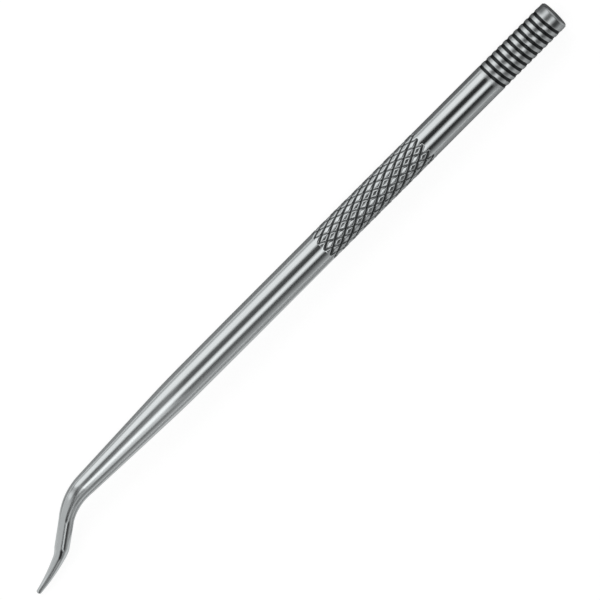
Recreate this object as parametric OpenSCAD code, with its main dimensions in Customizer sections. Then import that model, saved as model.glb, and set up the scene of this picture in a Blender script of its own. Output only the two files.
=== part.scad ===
// Angled pick: one piece of round steel bar with a threaded butt, a knurled grip
// band, and a long tapered point bent twice. It lies on a table the way it comes
// to rest, on the knurl and on the outside of the second bend. The bar runs along
// +X from the butt to the point, and the point leans towards +Y and down.

/* [Bar] */
// Diameter of the round bar
bar_d = 6.35; // [6.1:0.05:7]
// Distance from the butt face to the start of the taper
bar_len = 83.2; // [80:0.1:90]
// Size of the 45 degree chamfer round the butt face
butt_chamfer = 0.3; // [0.2:0.05:0.6]
// How much less the radius is at the butt face, which lets a sleeve slide on
butt_ease = 0.03; // [0.02:0.01:0.06]

/* [Thread] */
// Distance from one turn of the groove to the next
thread_pitch = 1.42; // [1.3:0.01:1.6]
// Distance from the butt face to the first turn, along the top of the bar
first_turn = 0.84; // [0.8:0.01:1.4]
// Number of turns after the first
more_turns = 11; // [6:1:12]
// Depth of the groove
groove_depth = 0.2; // [0.15:0.01:0.3]
// Width of the groove at the bar's surface
groove_w = 0.86; // [0.7:0.01:0.9]
// Width of the groove at its floor
groove_floor_w = 0.36; // [0.3:0.01:0.5]
// Part of a turn from where the groove starts to the top of the bar
lead_in = 0.3; // [0.2:0.05:0.5]
// Part of a turn over which the groove grows to its full depth
run_in = 0.7; // [0.4:0.05:0.9]
// Part of a turn from the last turn, at the top of the bar, to the groove's end
lead_out = 0.6; // [0.3:0.05:0.8]
// Part of a turn over which the groove fades
run_out = 0.45; // [0.2:0.05:0.6]

/* [Knurl] */
// Distance from the butt face to the knurl
knurl_start = 34.6; // [30:0.1:40]
// Length of one diamond along the bar
diamond_len = 2.84; // [2:0.01:3.2]
// Half lengths of a diamond that the knurl holds
half_diamonds = 19; // [9:2:21]
// Number of grooves that cross the knurl each way
knurl_starts = 12; // [10:2:16]
// Height of the diamonds above the bar's surface
knurl_rise = 0.07; // [0.03:0.01:0.15]
// Depth of the knurl's grooves below the bar's surface
knurl_depth = 0.2; // [0.1:0.01:0.3]
// Share of a diamond's width that is its flat top
flat_share = 0.5; // [0.3:0.05:0.5]
// Length over which the knurl fades out at each end
knurl_fade = 0.26; // [0.15:0.01:0.5]

/* [Taper] */
// Diameter where the slow taper ends and the steep one starts
shoulder_d = 6.24; // [5.9:0.01:6.3]
// Distance from the butt face to that shoulder
shoulder_x = 101.7; // [98:0.1:108]
// Length over which the two tapers blend
shoulder_blend = 8; // [2:0.5:12]
// Diameter where the first bend starts
bend_d = 4.28; // [3.8:0.01:4.6]
// Distance from the butt face to the first bend
bend_x = 126.2; // [120:0.1:130]

/* [Point] */
// Angle of the first bend
bend_1_angle = 36; // [30:0.5:45]
// Radius of the first bend, at the middle of the steel
bend_1_r = 12.2; // [10:0.1:20]
// Straight length between the bends
link_len = 5.7; // [2:0.1:8]
// Angle of the second bend, which turns back towards the bar's line
bend_2_angle = 15.5; // [10:0.5:25]
// Radius of the second bend
bend_2_r = 7.2; // [6:0.1:12]
// Length of the point past the second bend
point_len = 8; // [6:0.1:12]
// Angle through which the point itself curves
point_angle = 11; // [0:0.5:20]
// Diameter where the first bend ends
bend_1_end_d = 2.95; // [2.7:0.01:3.2]
// Diameter where the second bend starts
bend_2_start_d = 2.87; // [2.5:0.01:2.95]
// Diameter where the second bend ends
bend_2_end_d = 2.25; // [1.8:0.01:2.4]
// Diameter of the blunted tip
tip_d = 1; // [0.5:0.01:1.2]

/* [Hidden] */

bar_r = bar_d / 2;

// How far one form reaches into the next along the bar, and how far its edge sinks
overlap = 0.05;
sink = 0.04;

// Sides of the faceted forms round the bar
groove_sides = 36;
point_sides = 32;

// The knurl's lattice is one skin. The blank is turned down under it, by core_gap
// more than the skin's grooves are deep.
core_gap = 0.4;
knurl_len = half_diamonds * diamond_len / 2 + 2 * knurl_fade;
knurl_end = knurl_start + knurl_len;
crest_r = bar_r + knurl_rise;
valley_r = bar_r - knurl_depth;
knurl_core_r = valley_r - core_gap;
knurl_edge_r = bar_r - sink;

// A point at distance x along the bar, radius r and angle a round it, where an
// angle of 0 faces the bend's side and 90 faces up
function on_bar(x, r, a) = [x, r * cos(a), r * sin(a)];

// Triangles between ring i and ring i + 1 of a mesh with n points in each ring
function band_faces(i, n) = [
    for (k = [0 : n - 1])
        let (a = i * n + k, b = i * n + (k + 1) % n)
            each [[a, b + n, b], [a, a + n, b + n]]
];

// All faces of a closed tube: its bands and its two flat ends
function tube_faces(rings, n) = concat(
    [for (i = [0 : rings - 2]) each band_faces(i, n)],
    [[for (k = [0 : n - 1]) k]],
    [[for (k = [n - 1 : -1 : 0]) (rings - 1) * n + k]]
);

// The turned blank ends just before the first bend, inside the bent point's root
root_len = 0.5;
join_x = bend_x - root_len / 2;

// Outline of the turned blank, as [radius, distance from the butt face]. Its
// threaded end tapers by butt_ease to the butt face.
thread_end = first_turn + thread_pitch * (more_turns + lead_out) + groove_w / 2;
blend_steps = 6;
slow_slope = (shoulder_d / 2 - bar_r) / (shoulder_x - bar_len);
steep_slope = (bend_d - shoulder_d) / 2 / (bend_x - shoulder_x);

function blend_point(u) =
    let (x = shoulder_blend * (u - 0.5))
        [shoulder_d / 2 + slow_slope * x
            + (steep_slope - slow_slope) * shoulder_blend * u * u / 2,
         shoulder_x + x];

blank_outline = concat(
    [[0, 0], [bar_r - butt_ease - butt_chamfer, 0], [bar_r - butt_ease, butt_chamfer],
     [bar_r, thread_end], [bar_r, knurl_start], [knurl_core_r, knurl_start],
     [knurl_core_r, knurl_end], [bar_r, knurl_end], [bar_r, bar_len]],
    [for (i = [0 : blend_steps]) blend_point(i / blend_steps)],
    [[bend_d / 2 - steep_slope * root_len / 2, join_x], [0, join_x]]
);

module blank() {
    rotate([90, 0, 90])
        rotate_extrude($fn = 96)
            polygon(blank_outline);
}

// The thread is one groove that runs round the bar as a right-hand helix. Its
// cutter is a long wedge wound round the bar, which rises clear at both ends.
cutter_clear = 0.05;
flank_slope = (groove_w - groove_floor_w) / 2 / groove_depth;
cutter_top_w = groove_w + 2 * flank_slope * cutter_clear;
turns = lead_in + more_turns + lead_out;
thread_steps = round(turns * groove_sides);
first_angle = 90 - 360 * lead_in;

function groove_floor_r(turn) =
    let (grown = min(1, turn / run_in, (turns - turn) / run_out))
        bar_r + sink - (groove_depth + sink) * grown;

function cutter_ring(i) =
    let (turn = i / groove_sides,
         a = first_angle + 360 * turn,
         x = first_turn + thread_pitch * (a - 90) / 360,
         floor_r = groove_floor_r(turn),
         top_r = floor_r + groove_depth + cutter_clear)
        [on_bar(x - groove_floor_w / 2, floor_r, a), on_bar(x + groove_floor_w / 2, floor_r, a),
         on_bar(x + cutter_top_w / 2, top_r, a), on_bar(x - cutter_top_w / 2, top_r, a)];

module thread_cutter() {
    polyhedron(
        points = [for (i = [0 : thread_steps]) each cutter_ring(i)],
        faces = tube_faces(thread_steps + 1, 4)
    );
}

// The knurl is a lattice of flat-topped diamonds. Row i of the lattice lies half a
// diamond past row i - 1, and its diamonds stand between those of that row. The tops
// are flat from side corner to side corner, and the knurl is turned so that some of
// them lie level at the bottom, where the bar rests on them.
step_angle = 180 / knurl_starts;
flat_r = crest_r * cos(step_angle * flat_share);
rest_h = flat_r;

function row_x(i) = knurl_start + knurl_fade + i * diamond_len / 2;
function diamond_angle(i, k) = (2 * k + i % 2 - 1) * step_angle;

module knurl() {
    // Points of one row, going round: a valley crossing, then a flat top's near
    // corner, middle and far corner
    rows = half_diamonds;
    row_points = [
        for (i = [0 : rows], k = [0 : knurl_starts - 1])
            let (x = row_x(i), a = diamond_angle(i, k))
                each [on_bar(x, valley_r, a - step_angle),
                      on_bar(x, crest_r, a - flat_share * step_angle),
                      on_bar(x, flat_r, a),
                      on_bar(x, crest_r, a + flat_share * step_angle)]
    ];
    // Front and rear corners of the flat tops
    tip_reach = flat_share * diamond_len / 2;
    front_points = [
        for (i = [0 : rows], k = [0 : knurl_starts - 1])
            on_bar(row_x(i) + tip_reach, flat_r, diamond_angle(i, k))
    ];
    rear_points = [
        for (i = [0 : rows], k = [0 : knurl_starts - 1])
            on_bar(row_x(i) - tip_reach, flat_r, diamond_angle(i, k))
    ];
    per_row = 4 * knurl_starts;
    edge_points = [
        for (end = [0, 1], j = [0 : per_row - 1])
            let (p = row_points[end * rows * per_row + j],
                 x = end == 0 ? knurl_start - overlap : knurl_end + overlap,
                 a = atan2(p.z, p.y))
                on_bar(x, knurl_edge_r, a)
    ];
    front_base = (rows + 1) * per_row;
    rear_base = front_base + (rows + 1) * knurl_starts;
    edge_base = rear_base + (rows + 1) * knurl_starts;

    function row_id(i, k, j) = i * per_row + (4 * k + j + per_row) % per_row;
    // Crossing that lies straight in front of or behind a diamond, in row i + s
    function ahead_id(i, k, s) = row_id(i + s, k + (i % 2), 0);

    front_faces = [
        for (i = [0 : rows - 1], k = [0 : knurl_starts - 1])
            let (v0 = row_id(i, k, 0), c0 = row_id(i, k, 1), m = row_id(i, k, 2),
                 c1 = row_id(i, k, 3), v1 = row_id(i, k, 4),
                 f = front_base + i * knurl_starts + k, t = ahead_id(i, k, 1))
                each [[m, c0, f], [m, f, c1],
                      [v0, t, f], [v0, f, c0], [v1, c1, f], [v1, f, t]]
    ];
    rear_faces = [
        for (i = [1 : rows], k = [0 : knurl_starts - 1])
            let (v0 = row_id(i, k, 0), c0 = row_id(i, k, 1), m = row_id(i, k, 2),
                 c1 = row_id(i, k, 3), v1 = row_id(i, k, 4),
                 f = rear_base + i * knurl_starts + k, t = ahead_id(i, k, -1))
                each [[m, f, c0], [m, c1, f],
                      [v0, f, t], [v0, c0, f], [v1, f, c1], [v1, t, f]]
    ];
    fade_faces = [
        for (j = [0 : per_row - 1])
            let (n = (j + 1) % per_row, e = edge_base, g = edge_base + per_row,
                 last = rows * per_row)
                each [[e + j, n, e + n], [e + j, j, n],
                      [last + j, g + n, last + n], [last + j, g + j, g + n]]
    ];
    end_faces = [
        [for (j = [0 : per_row - 1]) edge_base + j],
        [for (j = [per_row - 1 : -1 : 0]) edge_base + per_row + j]
    ];
    polyhedron(
        points = concat(row_points, front_points, rear_points, edge_points),
        faces = concat(front_faces, rear_faces, fade_faces, end_faces)
    );
}

// The bent point follows a flat path of straight and curved stretches. A stretch
// is [length, angle it turns through, steps]. A place on the path is [distance
// along the bar, distance sideways, heading, distance along the path].
bend_1_len = bend_1_r * bend_1_angle * PI / 180;
bend_2_len = bend_2_r * bend_2_angle * PI / 180;
nose_len = tip_d / 3;
stretches = [
    [bend_1_len, bend_1_angle, 16],
    [link_len, 0, 5],
    [bend_2_len, -bend_2_angle, 7],
    [point_len - nose_len, -point_angle, 14],
    [nose_len, 0, 1]
];
path_moves = [for (s = stretches, i = [1 : s[2]]) [s[0], s[1]] / s[2]];

function next_place(p, move) =
    let (heading = p[2] + move[1] / 2)
        [p.x + move[0] * cos(heading), p.y + move[0] * sin(heading),
         p[2] + move[1], p[3] + move[0]];
function walk(p, i) =
    i == len(path_moves) ? [p] : concat([p], walk(next_place(p, path_moves[i]), i + 1));

path = walk([0, 0, 0, 0], 0);

bend_2_start = bend_1_len + link_len;
bend_2_end = bend_2_start + bend_2_len;
nose_start = bend_2_end + point_len - nose_len;

function steel_r(s) = lookup(s, [
    [0, bend_d / 2], [bend_1_len, bend_1_end_d / 2], [bend_2_start, bend_2_start_d / 2],
    [bend_2_end, bend_2_end_d / 2], [nose_start, tip_d / 2], [nose_start + nose_len, tip_d / 4]
]);

// The bar rolls on its knurl until the bent point touches the table. The sine of
// that roll is the least that any place on the path allows, found in a few passes
// from a first guess.
first_sine = 0.3;
roll_passes = 6;

function roll_sine(guess, passes) =
    passes == 0 ? guess :
    roll_sine(min([
        for (p = path)
            if (p.y > rest_h / 2)
                (rest_h - steel_r(p[3]) * sqrt(1 - pow(sin(p[2]) * guess, 2))) / p.y
    ]), passes - 1);

roll = asin(roll_sine(first_sine, roll_passes));

function point_ring(p) =
    let (centre = [p.x, p.y * cos(roll), -p.y * sin(roll)],
         side = [-sin(p[2]), cos(p[2]) * cos(roll), -cos(p[2]) * sin(roll)],
         top = [0, sin(roll), cos(roll)],
         r = steel_r(p[3]))
        [for (k = [0 : point_sides - 1])
            let (a = 360 * k / point_sides)
                centre + r * (cos(a) * side + sin(a) * top)];

point_points = concat(
    point_ring([-root_len, 0, 0, 0]),
    [for (p = path) each point_ring(p)]
);

module bent_point() {
    translate([bend_x, 0, 0])
        polyhedron(
            points = point_points,
            faces = tube_faces(len(path) + 1, point_sides)
        );
}

// The origin is on the table, under the middle of the pick's box
reach_x = bend_x + max([for (p = point_points) p.x]);
reach_y = max([for (p = point_points) p.y]);
origin_x = reach_x / 2;
origin_y = (reach_y - rest_h) / 2;

module pick() {
    color([0.72, 0.74, 0.75])
        translate([-origin_x, -origin_y, rest_h])
            union() {
                difference() {
                    blank();
                    thread_cutter();
                }
                knurl();
                bent_point();
            }
}

pick();
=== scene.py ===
"""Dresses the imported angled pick: one steel skin with its thread, knurl and bent point.

The pick is a single piece of bright drawn stainless bar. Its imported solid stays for
collision, and one finer mesh stands for it here, built from the same sizes. Lengths
are in millimetres until a vertex is written, and the bar runs along +X.
"""

import logging
import math
from dataclasses import dataclass, field
from enum import Enum, IntEnum

import bpy
import numpy as np
from mathutils import Matrix, Vector


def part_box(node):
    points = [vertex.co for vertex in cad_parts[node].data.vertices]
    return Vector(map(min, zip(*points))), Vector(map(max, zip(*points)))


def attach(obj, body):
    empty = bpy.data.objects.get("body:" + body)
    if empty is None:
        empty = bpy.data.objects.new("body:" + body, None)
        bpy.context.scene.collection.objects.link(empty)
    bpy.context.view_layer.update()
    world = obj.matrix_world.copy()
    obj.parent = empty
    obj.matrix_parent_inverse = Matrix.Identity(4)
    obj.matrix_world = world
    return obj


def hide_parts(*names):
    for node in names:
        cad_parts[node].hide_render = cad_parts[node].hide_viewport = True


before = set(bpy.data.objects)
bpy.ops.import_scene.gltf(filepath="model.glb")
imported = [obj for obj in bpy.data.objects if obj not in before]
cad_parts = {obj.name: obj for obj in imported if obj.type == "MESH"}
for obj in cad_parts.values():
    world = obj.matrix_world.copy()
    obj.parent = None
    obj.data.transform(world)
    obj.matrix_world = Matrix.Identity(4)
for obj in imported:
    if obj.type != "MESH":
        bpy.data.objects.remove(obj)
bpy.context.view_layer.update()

# Metres in a millimetre
MM = 0.001
# Vertices in each ring of the skin, 16 for each of the knurl's 12 starts
SIDES = 192
# Angle of each ring's first vertex, in degrees
SEAM_ANGLE = -18.75
# Width and height of the picture
FRAME_PIXELS = 600

log = logging.getLogger("angled_pick")


class Hand(Enum):
    """Which way a groove climbs round the bar, as the sign of its angle's run."""

    LEFT = 1
    RIGHT = -1


class End(Enum):
    """The two ends of the pick, each closed by a fan of faces."""

    BUTT = "butt"
    TIP = "tip"


class Easing(Enum):
    """How a value changes from one level to another, by Blender's name for it."""

    EVEN = "LINEAR"
    SOFT = "SMOOTHSTEP"


class Operation(Enum):
    """What is done to one or two numbers in a node tree, by Blender's name for it."""

    ADD = "ADD"
    SUBTRACT = "SUBTRACT"
    MULTIPLY = "MULTIPLY"
    LARGER = "MAXIMUM"
    ABSOLUTE = "ABSOLUTE"


class Column(IntEnum):
    """What each column of the point's path holds."""

    X = 0
    Y = 1
    HEADING = 2
    RUN = 3
    RADIUS = 4


def smooth(u: np.ndarray | float) -> np.ndarray | float:
    """Eases from 0 to 1 as u does, level at both ends."""
    t = np.clip(u, 0.0, 1.0)
    return t * t * (3.0 - 2.0 * t)


def ring_angles() -> np.ndarray:
    """Angles of a ring's vertices in degrees, where 0 faces +Y and 90 faces up."""
    return SEAM_ANGLE + 360.0 * np.arange(SIDES) / SIDES


@dataclass
class Skin:
    """Gathers the vertices and faces of the pick's skin, and what each vertex knows.

    Attributes:
        axis: Where the middle of the butt face is, in metres.
        places: Blocks of vertex places, in metres.
        unbent: The same vertices as they lay before the bar was bent.
        cuts: How deep each vertex lies in a groove or how dull it is, from 0 to 1.
        faces: Faces as tuples of vertex numbers.
        count: How many vertices there are so far.
    """

    axis: Vector
    places: list[np.ndarray] = field(default_factory=list)
    unbent: list[np.ndarray] = field(default_factory=list)
    cuts: list[np.ndarray] = field(default_factory=list)
    faces: list[tuple[int, ...]] = field(default_factory=list)
    count: int = 0

    def add(self, places: np.ndarray, unbent: np.ndarray, cut: np.ndarray) -> np.ndarray:
        """Adds vertices.

        Args:
            places: Vertex places from the butt's middle, in millimetres.
            unbent: Places of the same vertices on the straight bar.
            cut: How deep in a groove or how dull each vertex is, from 0 to 1.

        Returns:
            The numbers of the new vertices, in order.
        """
        self.places.append(places * MM + np.array(self.axis))
        self.unbent.append(unbent * MM)
        self.cuts.append(cut)
        numbers = np.arange(self.count, self.count + len(places))
        self.count += len(places)
        return numbers

    def add_ring(self, x: np.ndarray | float, radius: np.ndarray | float,
                 cut: np.ndarray | float = 0.0) -> np.ndarray:
        """Adds one ring of the straight bar.

        Args:
            x: Distance from the butt face, one for all or one for each vertex.
            radius: Distance from the bar's axis.
            cut: How deep in a groove or how dull it is, from 0 to 1.

        Returns:
            The numbers of the ring's vertices.
        """
        turn = np.radians(ring_angles())
        even = np.zeros(SIDES)
        place = np.column_stack([x + even, radius * np.cos(turn), radius * np.sin(turn)])
        return self.add(place, place, cut + even)

    def bridge(self, near: np.ndarray, far: np.ndarray) -> None:
        """Joins two closed rings with quads.

        Args:
            near: The ring on the butt's side.
            far: The ring on the tip's side.
        """
        near_next = np.roll(near, -1)
        far_next = np.roll(far, -1)
        self.faces.extend(zip(*(r.tolist() for r in (near, near_next, far_next, far))))

    def extend(self, near: np.ndarray, x: float, radius: np.ndarray | float,
               cut: np.ndarray | float = 0.0) -> np.ndarray:
        """Adds one ring of the straight bar and joins it to the ring before it.

        Args:
            near: The ring before it.
            x: Distance from the butt face.
            radius: Distance from the bar's axis.
            cut: How deep in a groove or how dull it is, from 0 to 1.

        Returns:
            The numbers of the new ring's vertices.
        """
        far = self.add_ring(x, radius, cut)
        self.bridge(near, far)
        return far

    def cap(self, ring: np.ndarray, middle: np.ndarray, end: End) -> None:
        """Closes the last ring at one end with a fan.

        Args:
            ring: The ring's vertices.
            middle: Where the fan's middle is, from the butt's middle.
            end: The end that it closes, which says the way that the fan faces.
        """
        (hub,) = self.add(middle[None, :], middle[None, :], np.zeros(1)).tolist()
        for a, b in zip(ring.tolist(), np.roll(ring, -1).tolist()):
            self.faces.append((hub, b, a) if end is End.BUTT else (hub, a, b))

    def mesh(self, name: str) -> bpy.types.Mesh:
        """Makes the Blender mesh, smooth shaded, with its two attributes.

        Args:
            name: The mesh's name.

        Returns:
            The mesh.
        """
        data = bpy.data.meshes.new(name)
        data.from_pydata(np.vstack(self.places).tolist(), [], self.faces)
        unbent = data.attributes.new("unbent", "FLOAT_VECTOR", "POINT")
        unbent.data.foreach_set("vector", np.vstack(self.unbent).astype(np.float32).ravel())
        cut = data.attributes.new("cut", "FLOAT", "POINT")
        cut.data.foreach_set("value", np.concatenate(self.cuts).astype(np.float32))
        data.shade_smooth()
        data.validate()
        return data


@dataclass(frozen=True)
class Bar:
    """The round bar that the pick is made from, a hair thinner at the threaded end.

    Attributes:
        radius: Radius of the plain bar.
        butt_ease: How much thinner it has become at the butt, evenly along the thread.
        butt_round: How much more its last stretch is rounded off.
        butt_end: Length of that last stretch, which handling has dulled too.
        butt_stain: How dull its patches are, from 0 to 1.
        butt_patches: How many dull patches there are round it.
        butt_patch_angle: Angle of the middle of one of them, in degrees.
        thread_end: Where the thread ends, from the butt face.
        knurl_start: Where the knurl starts, from the butt face.
        length: Where the bar starts to taper, from the butt face.
    """

    radius: float = 3.175
    butt_ease: float = 0.03
    butt_round: float = 0.06
    butt_end: float = 2.6
    butt_stain: float = 0.34
    butt_patches: int = 5
    butt_patch_angle: float = 135.0
    thread_end: float = 17.74
    knurl_start: float = 34.6
    length: float = 83.2

    def radius_at(self, x: np.ndarray | float) -> np.ndarray | float:
        """Radius of the straight bar at a distance x from the butt face."""
        eased = self.butt_ease * np.clip(1.0 - x / self.thread_end, 0.0, 1.0)
        return self.radius - eased - self.butt_round * smooth(1.0 - x / self.butt_end)

    def stain_at(self, x: np.ndarray | float) -> np.ndarray:
        """How dull each vertex of a ring is at a distance x from the butt face."""
        # The patches fade away over the farther half of the butt's end
        patches = np.cos(np.radians(self.butt_patches * (ring_angles() - self.butt_patch_angle)))
        return self.butt_stain * (0.5 + 0.5 * patches) * smooth(2.0 - 2.0 * x / self.butt_end)


@dataclass(frozen=True)
class Butt:
    """The flat end of the bar and the chamfer round it.

    Attributes:
        bar: The bar.
        chamfer: Width of the chamfer.
        edge: How far each of its two edges is rounded.
        hub_share: Radius of the flat end's inner ring, as a share of the flat end's.
        inner_edge: Points of the edge between flat end and chamfer, along the bar and
            outwards from it, in units of edge.
        outer_edge: Points of the edge between chamfer and bar, in the same way.
    """

    bar: Bar
    chamfer: float = 0.3
    edge: float = 0.05
    hub_share: float = 0.55
    inner_edge: tuple[tuple[float, float], ...] = ((0.0, -2.0), (0.0, -1.0), (0.3, 0.3), (1.1, 1.1))
    outer_edge: tuple[tuple[float, float], ...] = ((-1.0, -1.0), (-0.1, -0.28), (1.0, 0.0))

    def build(self, skin: Skin) -> np.ndarray:
        """Makes the flat end and its chamfer.

        Args:
            skin: The skin that the rings are added to.

        Returns:
            The last ring, just past the chamfer.
        """
        full = float(self.bar.radius_at(self.chamfer))
        flat = full - self.chamfer
        outline = [(0.0, flat * self.hub_share)]
        outline += [(self.edge * x, flat + self.edge * r) for x, r in self.inner_edge]
        outline += [(self.chamfer + self.edge * x, full + self.edge * r) for x, r in self.outer_edge]
        rings = [skin.add_ring(x, r, self.bar.stain_at(x)) for x, r in outline]
        skin.cap(rings[0], np.zeros(3), End.BUTT)
        for near, far in zip(rings, rings[1:]):
            skin.bridge(near, far)
        return rings[-1]


@dataclass(frozen=True)
class Thread:
    """The groove that runs round the butt end as a right-hand helix.

    Attributes:
        bar: The bar.
        pitch: Distance from one turn of the groove to the next.
        start: Where the groove's middle starts at the seam, from the butt face.
        turns: How many turns it makes.
        run_in: Turns over which it grows to its full depth.
        run_out: Turns over which it fades at its end.
        lip: Where the first row lies before the groove, from the butt face.
        lip_fade: Distance past the lip over which the groove grows.
        lip_step: How far apart rows lie where they are squeezed against the lip.
        depth: Depth of the groove.
        half_width: Half the groove's width at the bar's surface.
        floor_half_width: Half the width of its floor.
        row_offsets: Where the rows of vertices lie, from the groove's middle.
        whole_turns: How many turns the rows make.
        beyond: How far past the last turn the next plain ring lies.
    """

    bar: Bar
    pitch: float = 1.42
    start: float = 0.411
    turns: float = 11.9
    run_in: float = 1.5
    run_out: float = 0.75
    lip: float = 0.36
    lip_fade: float = 0.15
    lip_step: float = 0.004
    depth: float = 0.11
    half_width: float = 0.43
    floor_half_width: float = 0.16
    row_offsets: tuple[float, ...] = (
        -0.52, -0.43, -0.37, -0.31, -0.25, -0.17, -0.09, 0.0,
        0.09, 0.17, 0.25, 0.31, 0.37, 0.43, 0.52, 0.7,
    )
    whole_turns: int = 12
    beyond: float = 0.15

    def depth_at(self, turn: np.ndarray, x: np.ndarray) -> np.ndarray:
        """Depth of the groove.

        Args:
            turn: Turns from where the groove starts.
            x: Distance of each place from the butt face.

        Returns:
            The depth below the bar's surface, one for each place.
        """
        offset = np.abs(x - self.start - self.pitch * turn)
        reach = self.half_width - self.floor_half_width
        shape = smooth((self.half_width - offset) / reach)
        grown = smooth(turn / self.run_in) * smooth((self.turns - turn) / self.run_out)
        return self.depth * shape * grown * smooth((x - self.lip) / self.lip_fade)

    def build(self, skin: Skin, last: np.ndarray) -> np.ndarray:
        """Makes the groove's rows along its own helix and joins them to plain rings.

        Args:
            skin: The skin that the rows are added to.
            last: The ring that the thread starts from.

        Returns:
            A plain ring just past the thread.
        """
        share = np.arange(SIDES) / SIDES
        rows = []
        for whole in range(self.whole_turns):
            for row, offset in enumerate(self.row_offsets):
                turn = whole + share
                x = np.maximum(self.start + offset + self.pitch * turn,
                               self.lip + self.lip_step * row)
                depth = self.depth_at(turn, x)
                # The groove's depth darkens the steel here: dirt settled in it and painted shade
                cut = np.maximum(depth / self.depth, self.bar.stain_at(x))
                rows.append(skin.add_ring(x, self.bar.radius_at(x) - depth, cut))
        closing = self.start + self.row_offsets[0] + self.pitch * (self.whole_turns + share)
        rows.append(skin.add_ring(closing, self.bar.radius))
        self.join_rows(skin, rows)
        self.join_start(skin, last, rows)
        end = skin.add_ring(float(closing[-1]) + self.beyond, self.bar.radius)
        self.join_end(skin, end, rows)
        return end

    def join_rows(self, skin: Skin, rows: list[np.ndarray]) -> None:
        """Joins each row to the next, and each turn to the one after it at the seam.

        Args:
            skin: The skin that the faces are added to.
            rows: The rows, one turn after the other, and the closing row.
        """
        per_turn = len(self.row_offsets)
        for near, far in zip(rows, rows[1:]):
            for a, b, c, d in zip(near[:-1], near[1:], far[1:], far[:-1]):
                skin.faces.append((int(a), int(b), int(c), int(d)))
        for i in range(len(rows) - 1 - per_turn):
            near, far = rows[i], rows[i + 1]
            near_next, far_next = rows[i + per_turn], rows[i + per_turn + 1]
            skin.faces.append((int(near[-1]), int(near_next[0]), int(far_next[0]), int(far[-1])))

    def join_start(self, skin: Skin, ring: np.ndarray, rows: list[np.ndarray]) -> None:
        """Fills the wedge between the ring before the thread and the first turn.

        Args:
            skin: The skin that the faces are added to.
            ring: The ring before the thread.
            rows: The rows of the thread.
        """
        per_turn = len(self.row_offsets)
        first = rows[0]
        for j in range(SIDES - 1):
            skin.faces.append((int(ring[j]), int(ring[j + 1]), int(first[j + 1]), int(first[j])))
        corner = int(first[-1])
        skin.faces.append((int(ring[-1]), int(ring[0]), int(first[0]), corner))
        for i in range(per_turn):
            skin.faces.append((corner, int(rows[i][0]), int(rows[i + 1][0])))

    def join_end(self, skin: Skin, ring: np.ndarray, rows: list[np.ndarray]) -> None:
        """Fills the wedge between the last turn and the ring past the thread.

        Args:
            skin: The skin that the faces are added to.
            ring: The ring past the thread.
            rows: The rows of the thread.
        """
        per_turn = len(self.row_offsets)
        final = rows[-1]
        for j in range(SIDES - 1):
            skin.faces.append((int(final[j]), int(final[j + 1]), int(ring[j + 1]), int(ring[j])))
        corner = int(final[0])
        skin.faces.append((int(final[-1]), int(ring[0]), int(ring[-1])))
        first_left = len(rows) - 1 - per_turn
        for i in range(first_left, len(rows) - 1):
            skin.faces.append((int(rows[i][-1]), corner, int(rows[i + 1][-1])))
        skin.faces.append((int(final[-1]), corner, int(ring[0])))


@dataclass(frozen=True)
class KnurlGroove:
    """One of the two families of grooves that cross the knurl.

    Attributes:
        hand: Which way its grooves climb.
        depth: Their depth below the highest tops.
        half_width: Half their width at the tops.
    """

    hand: Hand
    depth: float
    half_width: float


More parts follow.
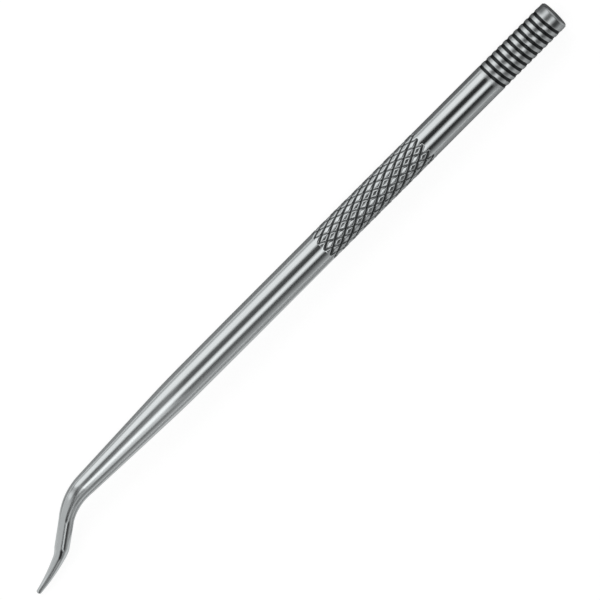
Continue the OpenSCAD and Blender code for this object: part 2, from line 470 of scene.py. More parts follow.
@dataclass(frozen=True)
class Knurl:
    """The band of diamonds that is rolled into the grip.

    Attributes:
        bar: The bar.
        diamond: Length of a diamond along the bar.
        half_diamonds: Length of the band, in half diamonds.
        starts: How many diamonds there are round the bar.
        turn: Angle at which the first row runs through the middle of a diamond, in degrees.
        rise: How far the highest tops stand above the bar.
        fade: Length of each faded end.
        beside: Length of the plain ring beside each end, which keeps the shading level.
        fade_rows: Where the rows of a faded end lie, as shares of its length.
        rows_per_diamond: How many rows of vertices make a diamond.
        grooves: The two families of grooves.
        flank: How round the grooves' flanks are, as an exponent.
        dirt_and_shade: How dark the deepest groove is, from 0 to 1, with dirt and painted shade.
        dirt_and_shade_rise: How slowly a groove darkens with its depth, as an exponent.
        wear: How far a top is worn down at most.
        worn_heights: Least and most that a diamond's middle is worn, as a share of wear.
        worn_lean: How much more or less its sides are worn at most, as a share of wear.
        wear_seed: Seed for the diamonds' wear.
    """

    bar: Bar
    diamond: float = 2.84
    half_diamonds: int = 19
    starts: int = 12
    turn: float = -13.0
    rise: float = 0.042
    fade: float = 0.26
    beside: float = 0.1
    fade_rows: tuple[float, ...] = (0.25, 0.5, 0.75)
    rows_per_diamond: int = 16
    grooves: tuple[KnurlGroove, ...] = (
        KnurlGroove(Hand.LEFT, depth=0.24, half_width=0.35),
        KnurlGroove(Hand.RIGHT, depth=0.17, half_width=0.26),
    )
    flank: float = 0.8
    dirt_and_shade: float = 0.54
    dirt_and_shade_rise: float = 0.6
    wear: float = 0.045
    worn_heights: tuple[float, float] = (0.3, 0.7)
    worn_lean: float = 0.5
    wear_seed: int = 11

    @property
    def length(self) -> float:
        """Length of the band with its two faded ends."""
        return self.half_diamonds * self.diamond / 2 + 2 * self.fade

    def depth_at(self, x: float, angles: np.ndarray) -> tuple[np.ndarray, np.ndarray]:
        """Depth below the highest tops at one distance along the bar.

        Args:
            x: Distance from the first row of diamonds.
            angles: Angles round the bar, in degrees.

        Returns:
            The depth at each angle with the tops' wear, and the depth of the grooves alone.
        """
        start_angle = 360.0 / self.starts
        width = math.radians(start_angle) * self.bar.radius
        normal_pitch = self.diamond * width / math.hypot(self.diamond, width)
        turned = (angles - self.turn) / start_angle
        deepest = np.zeros(len(angles))
        on_top = np.ones(len(angles))
        runs = []
        for groove in self.grooves:
            run = x / self.diamond + groove.hand.value * (turned - 0.5)
            away = np.abs(run - np.round(run)) * normal_pitch
            share = smooth(1.0 - away / groove.half_width) ** self.flank
            deepest = np.maximum(deepest, groove.depth * share)
            on_top = on_top * (1.0 - share)
            runs.append(run)
        return deepest + self.wear * on_top * self.worn(runs), deepest

    def worn(self, runs: list[np.ndarray]) -> np.ndarray:
        """Gives each diamond a height and a lean of its own, the same on every run.

        Args:
            runs: Distance across each family of grooves, in grooves.

        Returns:
            How far each place is worn down, from 0 to 1.
        """
        cells = [np.floor(run).astype(int) for run in runs]
        along, across = cells[0] + cells[1], cells[0] % self.starts
        draw = np.random.default_rng(self.wear_seed)
        # Numbers below 0 are read from the table's far end, which the band doesn't reach
        table = (4 * self.half_diamonds, self.starts)
        lean = draw.uniform(0.0, 2 * math.pi, table)[along, across]
        height = draw.uniform(*self.worn_heights, table)[along, across]
        sides = [2 * (run - cell) - 1 for run, cell in zip(runs, cells)]
        slope = (sides[0] * np.cos(lean) + sides[1] * np.sin(lean)) * self.worn_lean
        return np.clip(height + slope, 0.0, 1.0)

    def build(self, skin: Skin, last: np.ndarray) -> np.ndarray:
        """Makes the band's rows.

        Args:
            skin: The skin that the rows are added to.
            last: The ring that the band starts from.

        Returns:
            A plain ring just past the band.
        """
        start = self.bar.knurl_start
        end = start + self.length
        rows = self.half_diamonds * self.rows_per_diamond // 2
        step = self.diamond / self.rows_per_diamond
        lattice = [start + self.fade + i * step for i in range(rows + 1)]
        lead = [start + self.fade * share for share in self.fade_rows]
        tail = [end - (x - start) for x in reversed(lead)]
        deepest = max(groove.depth for groove in self.grooves)
        near = last
        for x in (start - self.beside, start):
            near = skin.extend(near, x, self.bar.radius)
        for x in [*lead, *lattice, *tail]:
            share = float(smooth(min(x - start, end - x) / self.fade))
            depth, cut = self.depth_at(x - start - self.fade, ring_angles())
            radius = self.bar.radius + share * (self.rise - depth)
            # Deeper in a groove the steel is darker: dirt settled there and painted shade
            dirt_and_shade = share * self.dirt_and_shade * (cut / deepest) ** self.dirt_and_shade_rise
            near = skin.extend(near, x, radius, dirt_and_shade)
        for x in (end, end + self.beside):
            near = skin.extend(near, x, self.bar.radius)
        return near


@dataclass(frozen=True)
class Taper:
    """The two long cones that thin the bar towards the first bend.

    Attributes:
        bar: The bar.
        shoulder_x: Where the slow cone meets the steep one, from the butt face.
        shoulder_radius: Radius where they would meet without the soft shoulder.
        blend: Length of the soft shoulder.
        end_x: Where the first bend starts, from the butt face.
        end_radius: Radius there.
        plain_steps: Rings in each cone.
        blend_steps: Rings in the soft shoulder.
    """

    bar: Bar
    shoulder_x: float = 101.7
    shoulder_radius: float = 3.12
    blend: float = 8.0
    end_x: float = 126.2
    end_radius: float = 2.14
    plain_steps: int = 6
    blend_steps: int = 14

    def radius_at(self, x: float) -> float:
        """Radius of the taper.

        Args:
            x: Distance from the butt face.

        Returns:
            The radius there.
        """
        slow = (self.shoulder_radius - self.bar.radius) / (self.shoulder_x - self.bar.length)
        steep = (self.end_radius - self.shoulder_radius) / (self.end_x - self.shoulder_x)
        past = x - self.shoulder_x
        into = min(max(past / self.blend + 0.5, 0.0), 1.0)
        bent = (steep - slow) * self.blend * into * into / 2
        beyond = (steep - slow) * max(past - self.blend / 2, 0.0)
        return self.shoulder_radius + slow * past + bent + beyond

    def build(self, skin: Skin, last: np.ndarray) -> np.ndarray:
        """Makes the taper's rings.

        Args:
            skin: The skin that the rings are added to.
            last: The ring that the taper starts from.

        Returns:
            The ring just before the first bend.
        """
        blend_start = self.shoulder_x - self.blend / 2
        stops = [
            *np.linspace(self.bar.length, blend_start, self.plain_steps, endpoint=False),
            *np.linspace(blend_start, blend_start + self.blend, self.blend_steps, endpoint=False),
            *np.linspace(blend_start + self.blend, self.end_x, self.plain_steps, endpoint=False),
        ]
        near = last
        for x in stops:
            near = skin.extend(near, float(x), self.radius_at(float(x)))
        return near


@dataclass(frozen=True)
class BentPoint:
    """The point, bent out of the bar's line and part of the way back.

    Attributes:
        taper: The taper that it goes on from.
        crest_radius: Radius over the knurl's highest tops, which lie on the table.
        bend_1_angle: Angle of the first bend, in degrees.
        bend_1_radius: Radius of the first bend.
        link: Length of the straight stretch between the bends.
        bend_2_angle: Angle of the second bend, which turns back.
        bend_2_radius: Radius of the second bend.
        length: Length of the point after the second bend.
        curve_angle: Angle that the point itself goes on curving through.
        radii: Radius of the steel at the end of each of the four stretches.
        step: Distance from ring to ring, as near as whole steps allow.
        nose_share: Length of the rounded nose, as a share of the last radius.
        nose_rings: Where the nose's rings lie, as shares of its length.
        first_sine: First guess at the sine of the roll.
        guesses: How many times the guess is bettered.
    """

    taper: Taper
    crest_radius: float
    bend_1_angle: float = 36.0
    bend_1_radius: float = 12.2
    link: float = 5.7
    bend_2_angle: float = 15.5
    bend_2_radius: float = 7.2
    length: float = 8.0
    curve_angle: float = 11.0
    radii: tuple[float, ...] = (1.475, 1.435, 1.125, 0.5)
    step: float = 0.3
    nose_share: float = 2 / 3
    nose_rings: tuple[float, ...] = (0.35, 0.65, 0.85, 0.96)
    first_sine: float = 0.3
    guesses: int = 6

    @property
    def stretches(self) -> list[tuple[float, float]]:
        """The four stretches of the path.

        Returns:
            The length of each and the angle that it turns through, in degrees.
        """
        bend_1 = self.bend_1_radius * math.radians(self.bend_1_angle)
        bend_2 = self.bend_2_radius * math.radians(self.bend_2_angle)
        return [
            (bend_1, self.bend_1_angle), (self.link, 0.0),
            (bend_2, -self.bend_2_angle),
            (self.length - self.nose, -self.curve_angle),
        ]

    @property
    def nose(self) -> float:
        """Length of the rounded nose at the very tip."""
        return self.radii[-1] * self.nose_share

    def path(self) -> np.ndarray:
        """Places along the path, flat and unrolled.

        Returns:
            Rows of distance along the bar, distance sideways, heading in degrees,
            distance along the path, and radius of the steel.
        """
        rows = [(0.0, 0.0, 0.0, 0.0, self.taper.end_radius)]
        for (length, angle), end_radius in zip(self.stretches, self.radii):
            steps = max(2, round(length / self.step))
            start_radius = rows[-1][Column.RADIUS]
            for i in range(1, steps + 1):
                x, y, heading, run, _ = rows[-1]
                middle = math.radians(heading + angle / steps / 2)
                rows.append((
                    x + length / steps * math.cos(middle),
                    y + length / steps * math.sin(middle),
                    heading + angle / steps,
                    run + length / steps,
                    start_radius + (end_radius - start_radius) * i / steps,
                ))
        return np.array(rows)

    def roll(self, path: np.ndarray) -> float:
        """Finds how far the bar rolls until the point touches the table.

        Args:
            path: The rows that path() returns.

        Returns:
            The roll about the bar's axis, in radians.
        """
        # Where the point is hardly aside yet, it can't be the first to touch the table
        far = path[path[:, Column.Y] > self.crest_radius / 2]
        sine = self.first_sine
        for _ in range(self.guesses):
            level = np.sqrt(1.0 - (np.sin(np.radians(far[:, Column.HEADING])) * sine) ** 2)
            drop = self.crest_radius - far[:, Column.RADIUS] * level
            sine = float(np.min(drop / far[:, Column.Y]))
        return math.asin(sine)

    def rounded(self, path: np.ndarray) -> np.ndarray:
        """Adds the nose to the path, as a quarter ellipse of shrinking rings.

        Args:
            path: The rows that path() returns.

        Returns:
            The same rows and the nose's.
        """
        x, y, heading, run, radius = path[-1]
        turn = math.radians(heading)
        rows = []
        for share in self.nose_rings:
            ahead = self.nose * share
            rows.append((
                x + ahead * math.cos(turn), y + ahead * math.sin(turn),
                heading, run + ahead, radius * math.sqrt(1.0 - share * share),
            ))
        return np.vstack([path, rows])

    def build(self, skin: Skin, last: np.ndarray) -> None:
        """Makes the point's rings and closes the tip.

        Args:
            skin: The skin that the rings are added to.
            last: The ring that the point starts from.
        """
        path = self.path()
        roll = self.roll(path)
        turn = np.radians(ring_angles())
        flat_side = np.array([0.0, math.cos(roll), -math.sin(roll)])
        top = np.array([0.0, math.sin(roll), math.cos(roll)])
        along_bar = np.array([1.0, 0.0, 0.0])
        near = last
        for x, y, heading, run, radius in self.rounded(path):
            turned = math.radians(heading)
            centre = along_bar * (self.taper.end_x + x) + flat_side * y
            side = flat_side * math.cos(turned) - along_bar * math.sin(turned)
            across = np.outer(np.cos(turn + roll), side) + np.outer(np.sin(turn + roll), top)
            straight = np.column_stack([
                np.full(SIDES, self.taper.end_x + run),
                radius * np.cos(turn), radius * np.sin(turn),
            ])
            far = skin.add(centre + radius * across, straight, np.zeros(SIDES))
            skin.bridge(near, far)
            near = far
        ahead = along_bar * math.cos(turned) + flat_side * math.sin(turned)
        skin.cap(near, centre + ahead * self.nose * (1.0 - self.nose_rings[-1]), End.TIP)


@dataclass(frozen=True)
class Wiring:
    """Adds nodes to one node tree and links them.

    Attributes:
        tree: The node tree of a material or of the world.
    """

    tree: bpy.types.NodeTree

    def node(self, kind: str) -> bpy.types.Node:
        """Adds one node of a kind."""
        return self.tree.nodes.new(kind)

    def link(self, source: bpy.types.NodeSocket, target: bpy.types.NodeSocket) -> None:
        """Links one node's output to another's input."""
        self.tree.links.new(source, target)

    def attribute(self, name: str, output: str) -> bpy.types.NodeSocket:
        """Reads one of the skin's attributes.

        Args:
            name: The attribute's name.
            output: The node's output that gives it.

        Returns:
            The socket with the attribute.
        """
        node = self.node("ShaderNodeAttribute")
        node.attribute_name = name
        return node.outputs[output]

    def split(self, vector: bpy.types.NodeSocket) -> bpy.types.bpy_prop_collection:
        """Splits a vector into its parts.

        Args:
            vector: The vector.

        Returns:
            The sockets X, Y and Z.
        """
        node = self.node("ShaderNodeSeparateXYZ")
        self.link(vector, node.inputs["Vector"])
        return node.outputs

    def combine(self, operation: Operation,
                *numbers: bpy.types.NodeSocket | float) -> bpy.types.NodeSocket:
        """Works one number out of one or two.

        Args:
            operation: What is done to them.
            numbers: The numbers, as sockets or as values.

        Returns:
            The socket with the result.
        """
        node = self.node("ShaderNodeMath")
        node.operation = operation.value
        for number, target in zip(numbers, node.inputs):
            if isinstance(number, float):
                target.default_value = number
            else:
                self.link(number, target)
        return node.outputs["Value"]

    def level(self, value: bpy.types.NodeSocket, reach: tuple[float, float],
              levels: tuple[float, float], easing: Easing = Easing.SOFT) -> bpy.types.NodeSocket:
        """Turns a value into a level that changes from one to another.

        Args:
            value: The value.
            reach: The values at which the change starts and ends.
            levels: The levels before and after the change.
            easing: How it changes between them.

        Returns:
            The socket with the level.
        """
        node = self.node("ShaderNodeMapRange")
        node.interpolation_type = easing.value
        for name, number in zip(("From Min", "From Max"), reach):
            node.inputs[name].default_value = number
        for name, number in zip(("To Min", "To Max"), levels):
            node.inputs[name].default_value = number
        self.link(value, node.inputs["Value"])
        return node.outputs["Result"]


@dataclass(frozen=True)
class Grain:
    """A noise that follows the bar round its bends.

    Attributes:
        cells: Cells in a metre, along the bar and across it.
        detail: Octaves of the noise.
    """

    cells: tuple[float, float, float]
    detail: float

    def build(self, wiring: Wiring, place: bpy.types.NodeSocket) -> bpy.types.NodeSocket:
        """Makes the noise.

        Args:
            wiring: The material's nodes.
            place: A vertex's unbent place, in metres.

        Returns:
            The socket with the noise, from 0 to 1.
        """
        stretch = wiring.node("ShaderNodeMapping")
        stretch.inputs["Scale"].default_value = self.cells
        wiring.link(place, stretch.inputs["Vector"])
        noise = wiring.node("ShaderNodeTexNoise")
        noise.inputs["Scale"].default_value = 1.0
        noise.inputs["Detail"].default_value = self.detail
        wiring.link(stretch.outputs["Vector"], noise.inputs["Vector"])
        return noise.outputs["Fac"]


@dataclass(frozen=True)
class Scuffed:
    """A stretch of the bar whose tops were scuffed when it was cut or rolled.

    Attributes:
        start: Where it starts, from the butt face, in millimetres.
        end: Where it ends, from the butt face, in millimetres.
        rougher: What it adds to the steel's roughness.
        fade: How far from its ends it reaches its full roughness, in millimetres.
    """

    start: float
    end: float
    rougher: float
    fade: float = 0.8

    def build(self, wiring: Wiring, place: bpy.types.NodeSocket,
              before: bpy.types.NodeSocket) -> bpy.types.NodeSocket:
        """Adds the stretch's roughness.

        Args:
            wiring: The material's nodes.
            place: A vertex's unbent place, in metres.
            before: The roughness so far.

        Returns:
            The socket with the roughness.
        """
        middle = (self.start + self.end) / 2 * MM
        half = (self.end - self.start) / 2 * MM
        past = wiring.combine(Operation.SUBTRACT, wiring.split(place)["X"], middle)
        away = wiring.combine(Operation.ABSOLUTE, past)
        within = wiring.level(away, (half - self.fade * MM, half), (self.rougher, 0.0))
        return wiring.combine(Operation.ADD, before, within)


@dataclass(frozen=True)
class DrawnSteel:
    """Bright drawn stainless steel, lightly polished along its length.

    Attributes:
        colour: Colour of the steel.
        groove_dirt_and_shade_colour: Colour of the grooves' depths, partly dirt settled there and
            partly painted shade.
        groove_edge: Depths in a groove, from 0 to 1, where that starts and is full.
        edge_tint: How bright the steel is where it is seen at a low angle.
        tone: Least and most that the mottle multiplies the steel's colour by.
        roughness: Roughness of the polished steel.
        streak: Least and most that the drawn grain adds to it.
        groove_roughness: Roughness in the grooves.
        bump_strength: Strength of the drawn grain's relief.
        bump_height: Height of that relief, in millimetres.
        drawn: The fine grain along the bar.
        mottle: The soft patches of the polish.
        scuffed: The threaded stretch and the knurled one.
    """

    colour: tuple[float, float, float] = (0.485, 0.507, 0.512)
    groove_dirt_and_shade_colour: tuple[float, float, float] = (0.03, 0.032, 0.033)
    groove_edge: tuple[float, float] = (0.05, 0.55)
    edge_tint: float = 0.7
    tone: tuple[float, float] = (0.93, 1.05)
    roughness: float = 0.13
    streak: tuple[float, float] = (-0.03, 0.05)
    groove_roughness: float = 0.32
    bump_strength: float = 0.12
    bump_height: float = 0.004
    drawn: Grain = Grain(cells=(60.0, 9000.0, 9000.0), detail=3.0)
    mottle: Grain = Grain(cells=(180.0, 420.0, 420.0), detail=2.0)
    scuffed: tuple[Scuffed, ...] = (Scuffed(-1.0, 17.9, 0.17), Scuffed(34.6, 62.1, 0.04))

    def build(self) -> bpy.types.Material:
        """Makes the material.

        Returns:
            The material.
        """
        material = bpy.data.materials.new("drawn_steel")
        material.use_nodes = True
        wiring = Wiring(material.node_tree)
        shader = material.node_tree.nodes["Principled BSDF"]
        shader.inputs["Metallic"].default_value = 1.0
        shader.inputs["Specular Tint"].default_value = (self.edge_tint,) * 3 + (1.0,)
        place = wiring.attribute("unbent", "Vector")
        # How deep in a groove each place lies, which darkens the colour with dirt and painted shade
        # and roughens the steel
        sunk = wiring.level(wiring.attribute("cut", "Fac"), self.groove_edge, (0.0, 1.0))
        drawn = self.drawn.build(wiring, place)
        wiring.link(self.build_colour(wiring, place, sunk), shader.inputs["Base Color"])
        wiring.link(self.build_roughness(wiring, place, sunk, drawn), shader.inputs["Roughness"])
        wiring.link(self.build_relief(wiring, drawn), shader.inputs["Normal"])
        return material

    def build_colour(self, wiring: Wiring, place: bpy.types.NodeSocket,
                     sunk: bpy.types.NodeSocket) -> bpy.types.NodeSocket:
        """Mixes the mottled steel with the dark of the grooves, which is partly dirt and partly
        painted shade.

        Args:
            wiring: The material's nodes.
            place: A vertex's unbent place, in metres.
            sunk: How much it belongs to a groove, from 0 to 1.

        Returns:
            The socket with the colour.
        """
        mottle = self.mottle.build(wiring, place)
        polished = wiring.node("ShaderNodeVectorMath")
        polished.operation = "SCALE"
        polished.inputs[0].default_value = self.colour
        tone = wiring.level(mottle, (0.0, 1.0), self.tone, Easing.EVEN)
        wiring.link(tone, polished.inputs["Scale"])
        # The grooves take a dark colour by their depth: partly dirt, partly painted shade
        mixed = wiring.node("ShaderNodeMix")
        mixed.data_type = "RGBA"
        wiring.link(sunk, mixed.inputs["Factor"])
        wiring.link(polished.outputs["Vector"], mixed.inputs["A"])
        mixed.inputs["B"].default_value = (*self.groove_dirt_and_shade_colour, 1.0)
        return mixed.outputs["Result"]

    def build_roughness(self, wiring: Wiring, place: bpy.types.NodeSocket,
                        sunk: bpy.types.NodeSocket,
                        drawn: bpy.types.NodeSocket) -> bpy.types.NodeSocket:
        """Mixes the roughness of the tops with that of the grooves.

        Args:
            wiring: The material's nodes.
            place: A vertex's unbent place, in metres.
            sunk: How much it belongs to a groove, from 0 to 1.
            drawn: The drawn grain, from 0 to 1.

        Returns:
            The socket with the roughness.
        """
        least, most = self.streak
        streaked = (self.roughness + least, self.roughness + most)
        tops = wiring.level(drawn, (0.0, 1.0), streaked, Easing.EVEN)
        for stretch in self.scuffed:
            tops = stretch.build(wiring, place, tops)
        mixed = wiring.node("ShaderNodeMix")
        mixed.data_type = "FLOAT"
        wiring.link(sunk, mixed.inputs["Factor"])
        wiring.link(tops, mixed.inputs["A"])
        mixed.inputs["B"].default_value = self.groove_roughness
        return mixed.outputs["Result"]

    def build_relief(self, wiring: Wiring, drawn: bpy.types.NodeSocket) -> bpy.types.NodeSocket:
        """Raises the drawn grain.

        Args:
            wiring: The material's nodes.
            drawn: The drawn grain, from 0 to 1.

        Returns:
            The socket with the surface's direction.
        """
        bump = wiring.node("ShaderNodeBump")
        bump.inputs["Strength"].default_value = self.bump_strength
        bump.inputs["Distance"].default_value = self.bump_height * MM
        wiring.link(drawn, bump.inputs["Height"])
        return bump.outputs["Normal"]


@dataclass(frozen=True)
class Pick:
    """The whole pick: one skin that runs from the butt to the tip.

    Attributes:
        bar: The bar that it is made from.
        finish: What its surface looks like.
    """

    bar: Bar = Bar()
    finish: DrawnSteel = DrawnSteel()

    def build(self) -> bpy.types.Object:
        """Makes the pick's one piece, dresses it and hands it to the frame.

        Returns:
            The piece.
        """
        knurl = Knurl(self.bar)
        crest = self.bar.radius + knurl.rise
        low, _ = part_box("pick")
        skin = Skin(Vector((low.x, low.y + crest * MM, crest * MM)))
        taper = Taper(self.bar)
        ring = Butt(self.bar).build(skin)
        ring = Thread(self.bar).build(skin, ring)
        ring = knurl.build(skin, ring)
        ring = taper.build(skin, ring)
        BentPoint(taper, crest).build(skin, ring)
        piece = bpy.data.objects.new("pick_steel", skin.mesh("pick_steel"))
        bpy.context.scene.collection.objects.link(piece)
        piece.data.materials.append(self.finish.build())
        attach(piece, "root")
        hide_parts("pick")
        log.info("%s: %d faces", piece.name, len(piece.data.polygons))
        return piece


@dataclass(frozen=True)
class StripLight:
    """A long soft lamp that runs beside the bar and draws one bright line along it.

    Its nested sheets hang one behind the other, because sheets in one plane hide each
    other. For the same reason two lamps at one angle don't overlap along X.

    Attributes:
        name: The lamp's name.
        angle: Where it hangs, in degrees from straight up towards +Y.
        spread: How wide it looks from the bar, in degrees, to the middle of its edges.
        soft: How wide its faded edges look from the bar, in degrees.
        reach: Its two ends along X, in metres.
        radiance: How bright its middle is, where 1 is white.
        sheets: How many nested sheets make up its faded edges.
        distance: How far the nearest of them hangs from the bar, in metres.
        sheet_gap: How far each hangs behind the last, in metres.
    """

    name: str
    angle: float
    spread: float
    soft: float
    reach: tuple[float, float]
    radiance: float
    sheets: int = 4
    distance: float = 0.6
    sheet_gap: float = 0.01

    def build(self) -> None:
        """Makes the nested sheets, facing the bar."""
        for i in range(self.sheets):
            share = (i + 0.5) / self.sheets - 0.5
            self.build_sheet(i, self.spread + 2 * share * self.soft)
        log.info("%s: %d sheets", self.name, self.sheets)

    def build_sheet(self, number: int, spread: float) -> None:
        """Makes one of the nested sheets, an area lamp.

        Args:
            number: Its place in the nest, where each hangs a little behind the last.
            spread: How wide this sheet looks from the bar, in degrees.
        """
        name = f"{self.name}_{number}"
        away = self.distance + number * self.sheet_gap
        width = 2 * away * math.tan(math.radians(spread) / 2)
        start, end = self.reach
        length = end - start
        data = bpy.data.lights.new(name, "AREA")
        data.shape = "RECTANGLE"
        data.size = length
        data.size_y = width
        data.energy = self.radiance / self.sheets * math.pi * length * width
        lamp = bpy.data.objects.new(name, data)
        tilt = math.radians(self.angle)
        lamp.location = (start + length / 2, away * math.sin(tilt), away * math.cos(tilt))
        lamp.rotation_euler = (-tilt, 0.0, 0.0)
        lamp.visible_camera = False
        bpy.context.scene.collection.objects.link(lamp)


@dataclass(frozen=True)
class ShadowCard:
    """A card of painted shadow that lies by the pick and is seen only in the steel, where it stands
    for the table's shade beside the pick.

    Attributes:
        name: The card's name.
        near: Points of its near edge, as X in the frame and distance from the bar's axis
            along Y, in millimetres.
        far: Its far edge, from the bar's axis along Y, in millimetres.
        greys: How pale its painted shadow is at its two ends, from 0 to 1.
        rise: Its height over the table, in millimetres.
    """

    name: str
    near: tuple[tuple[float, float], ...]
    far: float
    greys: tuple[float, float]
    rise: float = 0.05

    def build(self) -> bpy.types.Object:
        """Makes the card of painted shadow, which neither the lens nor the table's light sees.

        Returns:
            The card.
        """
        data = bpy.data.meshes.new(self.name)
        low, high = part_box("pick")
        axis = low.y + high.z / 2
        near_edge = [(x * MM, axis + y * MM, self.rise * MM) for x, y in self.near]
        far_edge = [(x * MM, axis + self.far * MM, self.rise * MM) for x, _ in self.near]
        count = len(self.near)
        strips = [(i, i + 1, count + i + 1, count + i) for i in range(count - 1)]
        # A card on the -Y side would otherwise face the table
        if self.far < 0:
            strips = [tuple(reversed(strip)) for strip in strips]
        data.from_pydata(near_edge + far_edge, [], strips)
        card = bpy.data.objects.new(self.name, data)
        card.visible_camera = False
        card.visible_shadow = False
        card.visible_diffuse = False
        bpy.context.scene.collection.objects.link(card)
        data.materials.append(self.shadow_paint())
        log.info("%s: lies by the pick", card.name)
        return card

    def shadow_paint(self) -> bpy.types.Material:
        """Makes the card's painted shadow, a grey which pales from one end to the other.

        Returns:
            The material.
        """
        shadow_paint = bpy.data.materials.new(self.name)
        shadow_paint.use_nodes = True
        wiring = Wiring(shadow_paint.node_tree)
        place = wiring.split(wiring.node("ShaderNodeTexCoord").outputs["Object"])
        ends = (self.near[0][0] * MM, self.near[-1][0] * MM)
        pale = wiring.level(place["X"], ends, self.greys, Easing.EVEN)
        shader = shadow_paint.node_tree.nodes["Principled BSDF"]
        wiring.link(pale, shader.inputs["Base Color"])
        shader.inputs["Roughness"].default_value = 1.0
        return shadow_paint


@dataclass(frozen=True)
class Room:
    """What stands round the table: pale walls, a dark ceiling and a window ahead.

    Levels of light are from 0 to 1, and places are parts of a direction one long.

    Attributes:
        ceiling: How bright the ceiling is.
        wall: How bright the walls are at the table's height.
        wall_height: How far up the walls have faded into the ceiling.
        ceiling_slope: How much lower the ceiling comes towards -Y.
        window: How bright the window is, beyond the pick's tip.
        window_ahead: Where it starts and is full, along +X.
        window_aside: Where it starts to fade and has faded, along +Y.
    """

    ceiling: float = 0.03
    wall: float = 0.62
    wall_height: float = 0.7
    ceiling_slope: float = 0.1
    window: float = 0.82
    window_ahead: tuple[float, float] = (0.4, 0.55)
    window_aside: tuple[float, float] = (0.05, 0.35)

    def build(self) -> None:
        """Sets the world to the room."""
        world = bpy.data.worlds.new("studio")
        world.use_nodes = True
        bpy.context.scene.world = world
        wiring = Wiring(world.node_tree)
        toward = wiring.node("ShaderNodeTexCoord").outputs["Generated"]
        height = wiring.node("ShaderNodeVectorMath")
        height.operation = "DOT_PRODUCT"
        height.inputs[1].default_value = (0.0, -self.ceiling_slope, 1.0)
        wiring.link(toward, height.inputs[0])
        rise = (-self.ceiling_slope, self.wall_height - self.ceiling_slope)
        walls = wiring.level(height.outputs["Value"], rise, (self.wall, self.ceiling))
        place = wiring.split(toward)
        ahead = wiring.level(place["X"], self.window_ahead, (0.0, self.window))
        aside = wiring.level(place["Y"], self.window_aside, (1.0, 0.0))
        window = wiring.combine(Operation.MULTIPLY, ahead, aside)
        light = wiring.combine(Operation.LARGER, walls, window)
        background = world.node_tree.nodes["Background"]
        wiring.link(light, background.inputs["Strength"])
        background.inputs["Color"].default_value = (1.0, 1.0, 1.0, 1.0)
        log.info("room: walls, ceiling and window")


@dataclass(frozen=True)
class Table:
    """The white table, which keeps a faint shadow of the pick.

    Attributes:
        half: Half its width, in metres.
        plain: How pale it is for the light that it throws back, from 0 to 1.
        roughness: Its roughness for that light.
        white: How bright it is by itself to the lens and in the steel, where 1 is white.
        shade: How much of the room's light is added to that, which draws the shadow.
    """

    half: float = 4.0
    plain: float = 0.9
    roughness: float = 0.9
    white: float = 0.86
    shade: float = 0.26

    def build(self) -> bpy.types.Object:
        """Makes the table.

        Returns:
            The table.
        """
        half = self.half
        data = bpy.data.meshes.new("table")
        corners = [(-half, -half, 0.0), (half, -half, 0.0), (half, half, 0.0), (-half, half, 0.0)]
        data.from_pydata(corners, [], [(0, 1, 2, 3)])
        table = bpy.data.objects.new("table", data)
        bpy.context.scene.collection.objects.link(table)
        data.materials.append(self.finish())
        log.info("%s: %.0f m wide", table.name, 2 * half)
        return table

    def finish(self) -> bpy.types.Material:
        """Makes the table's white, the same to the lens and in the steel.

        Returns:
            The material.
        """
        material = bpy.data.materials.new("table_white")
        material.use_nodes = True
        nodes = material.node_tree.nodes
        wiring = Wiring(material.node_tree)
        plain = nodes["Principled BSDF"]
        plain.inputs["Base Color"].default_value = (self.plain,) * 3 + (1.0,)
        plain.inputs["Roughness"].default_value = self.roughness
        white = wiring.node("ShaderNodeEmission")
        white.inputs["Strength"].default_value = self.white
        shade = wiring.node("ShaderNodeBsdfDiffuse")
        shade.inputs["Color"].default_value = (self.shade,) * 3 + (1.0,)
        lit = wiring.node("ShaderNodeAddShader")
        wiring.link(white.outputs["Emission"], lit.inputs[0])
        wiring.link(shade.outputs["BSDF"], lit.inputs[1])
        rays = wiring.node("ShaderNodeLightPath").outputs
        seen = wiring.combine(Operation.LARGER, rays["Is Camera Ray"], rays["Is Glossy Ray"])
        through = wiring.combine(Operation.LARGER, seen, rays["Is Transmission Ray"])
        mix = wiring.node("ShaderNodeMixShader")
        wiring.link(through, mix.inputs["Fac"])
        wiring.link(plain.outputs["BSDF"], mix.inputs[1])
        wiring.link(lit.outputs["Shader"], mix.inputs[2])
        wiring.link(mix.outputs["Shader"], nodes["Material Output"].inputs["Surface"])
        return material


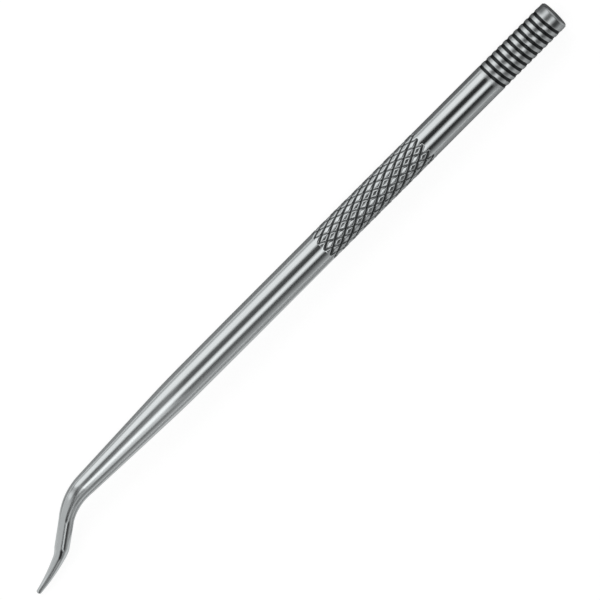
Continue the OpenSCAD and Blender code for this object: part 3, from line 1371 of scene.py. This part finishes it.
@dataclass(frozen=True)
class Studio:
    """Everything round the pick that lights it or shows in its steel.

    Attributes:
        room: The room.
        table: The table.
        cards: The cards of painted shadow that lie by the pick, seen only in the steel.
        lamps: The lamps, where strips draw the bright lines and fills lift the dark
            between them.
    """

    room: Room = Room()
    table: Table = Table()
    # Each card is painted shadow of the table beside the pick, seen only in the steel
    cards: tuple[ShadowCard, ...] = (
        ShadowCard("left_shadow_card", near=((-85.0, -3.8), (85.0, -3.8)), far=-27.0, greys=(0.2, 0.9)),
        ShadowCard(
            "right_shadow_card", greys=(0.82, 0.82), far=62.0,
            near=((-85.0, 4.0), (-35.0, 4.5), (0.0, 8.0), (22.0, 11.0), (35.0, 11.0), (60.0, 6.0)),
        ),
        ShadowCard("butt_shadow_card", near=((-78.0, -3.6), (-73.8, -3.6)), far=3.6, greys=(0.25, 0.25)),
    )
    lamps: tuple[StripLight, ...] = (
        StripLight("left_softbox", -58.0, spread=42.0, soft=18.0, reach=(-0.75, 0.31),
                   radiance=1.45),
        StripLight("side_strip", -52.0, spread=50.0, soft=14.0, reach=(0.31, 0.5),
                   radiance=0.5, sheets=3),
        StripLight("top_strip", 16.6, spread=27.0, soft=16.0, reach=(-0.75, 0.2),
                   radiance=1.5),
        StripLight("bend_strip", 13.5, spread=22.0, soft=10.0, reach=(0.2, 0.268),
                   radiance=1.5, sheets=3),
        StripLight("link_strip", 19.0, spread=20.0, soft=10.0, reach=(0.268, 0.325),
                   radiance=0.25, sheets=3),
        StripLight("front_strip", 41.0, spread=24.0, soft=14.0, reach=(0.152, 0.212),
                   radiance=0.8, sheets=3),
        StripLight("inner_strip", 43.0, spread=36.0, soft=10.0, reach=(0.212, 0.268),
                   radiance=0.6, sheets=3),
        StripLight("middle_fill", 15.0, spread=110.0, soft=20.0, reach=(0.08, 0.15),
                   radiance=0.12, sheets=2),
        StripLight("front_fill", 15.0, spread=110.0, soft=20.0, reach=(0.15, 0.21),
                   radiance=0.44, sheets=2),
        StripLight("bend_fill", -8.0, spread=64.0, soft=16.0, reach=(0.21, 0.3),
                   radiance=0.42, sheets=2),
        StripLight("point_fill", 8.0, spread=46.0, soft=16.0, reach=(0.325, 0.4),
                   radiance=0.15, sheets=2),
    )

    def build(self) -> None:
        """Makes the lamps, the room, the table and the cards of painted shadow."""
        for lamp in self.lamps:
            lamp.build()
        self.room.build()
        self.table.build()
        for card in self.cards:
            card.build()


@dataclass(frozen=True)
class PhotoCamera:
    """A long lens that looks down on the pick, turned as the photograph is.

    Attributes:
        lens: Focal length in millimetres.
        sensor: Width of the sensor in millimetres.
        lean: How far the lens leans from straight down towards the butt, in degrees.
        pixel: What one pixel covers along the bar, in millimetres.
        butt_pixel: Where the middle of the butt face is in the photograph.
        bar_angle: The bar's direction in the photograph, in degrees below straight left.
        height: Height of the bar's axis over the table, in millimetres.
        clip_end: How far away it still sees things, in metres.
    """

    lens: float = 1000.0
    sensor: float = 36.0
    lean: float = 7.5
    pixel: float = 0.1896
    butt_pixel: tuple[float, float] = (554.2, 14.8)
    bar_angle: float = 45.03
    height: float = 3.217
    clip_end: float = 20.0

    def build(self) -> bpy.types.Object:
        """Makes the camera and hands it to the scene.

        Returns:
            The camera.
        """
        turn = math.radians(self.bar_angle)
        lean = math.radians(self.lean)
        pixel = self.pixel * math.cos(lean) * MM
        back = Vector((-math.sin(lean), 0.0, math.cos(lean)))
        along = Vector((math.cos(lean), 0.0, math.sin(lean)))
        across = Vector((0.0, 1.0, 0.0))
        right = across * math.sin(turn) - along * math.cos(turn)
        up = -across * math.cos(turn) - along * math.sin(turn)
        middle = FRAME_PIXELS / 2
        low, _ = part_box("pick")
        axis = Vector((low.x, low.y + self.height * MM, self.height * MM))
        place = axis + right * (middle - self.butt_pixel[0]) * pixel
        place += up * (self.butt_pixel[1] - middle) * pixel
        place -= back * (place.z - axis.z) / back.z
        distance = FRAME_PIXELS * pixel * self.lens / self.sensor
        data = bpy.data.cameras.new("photo_camera")
        data.lens = self.lens
        data.sensor_width = self.sensor
        data.clip_end = self.clip_end
        camera = bpy.data.objects.new("photo_camera", data)
        facing = Matrix((right, up, back)).transposed().to_4x4()
        camera.matrix_world = Matrix.Translation(place + back * distance) @ facing
        bpy.context.scene.collection.objects.link(camera)
        bpy.context.scene.camera = camera
        log.info("camera: %.0f mm away", distance / MM)
        return camera


def main() -> None:
    """Builds the pick, the studio and the camera in order."""
    logging.basicConfig(level=logging.INFO, format="%(name)s: %(message)s")
    bpy.context.scene.view_settings.view_transform = "Standard"
    Pick().build()
    Studio().build()
    PhotoCamera().build()


if __name__ == "__main__":
    main()
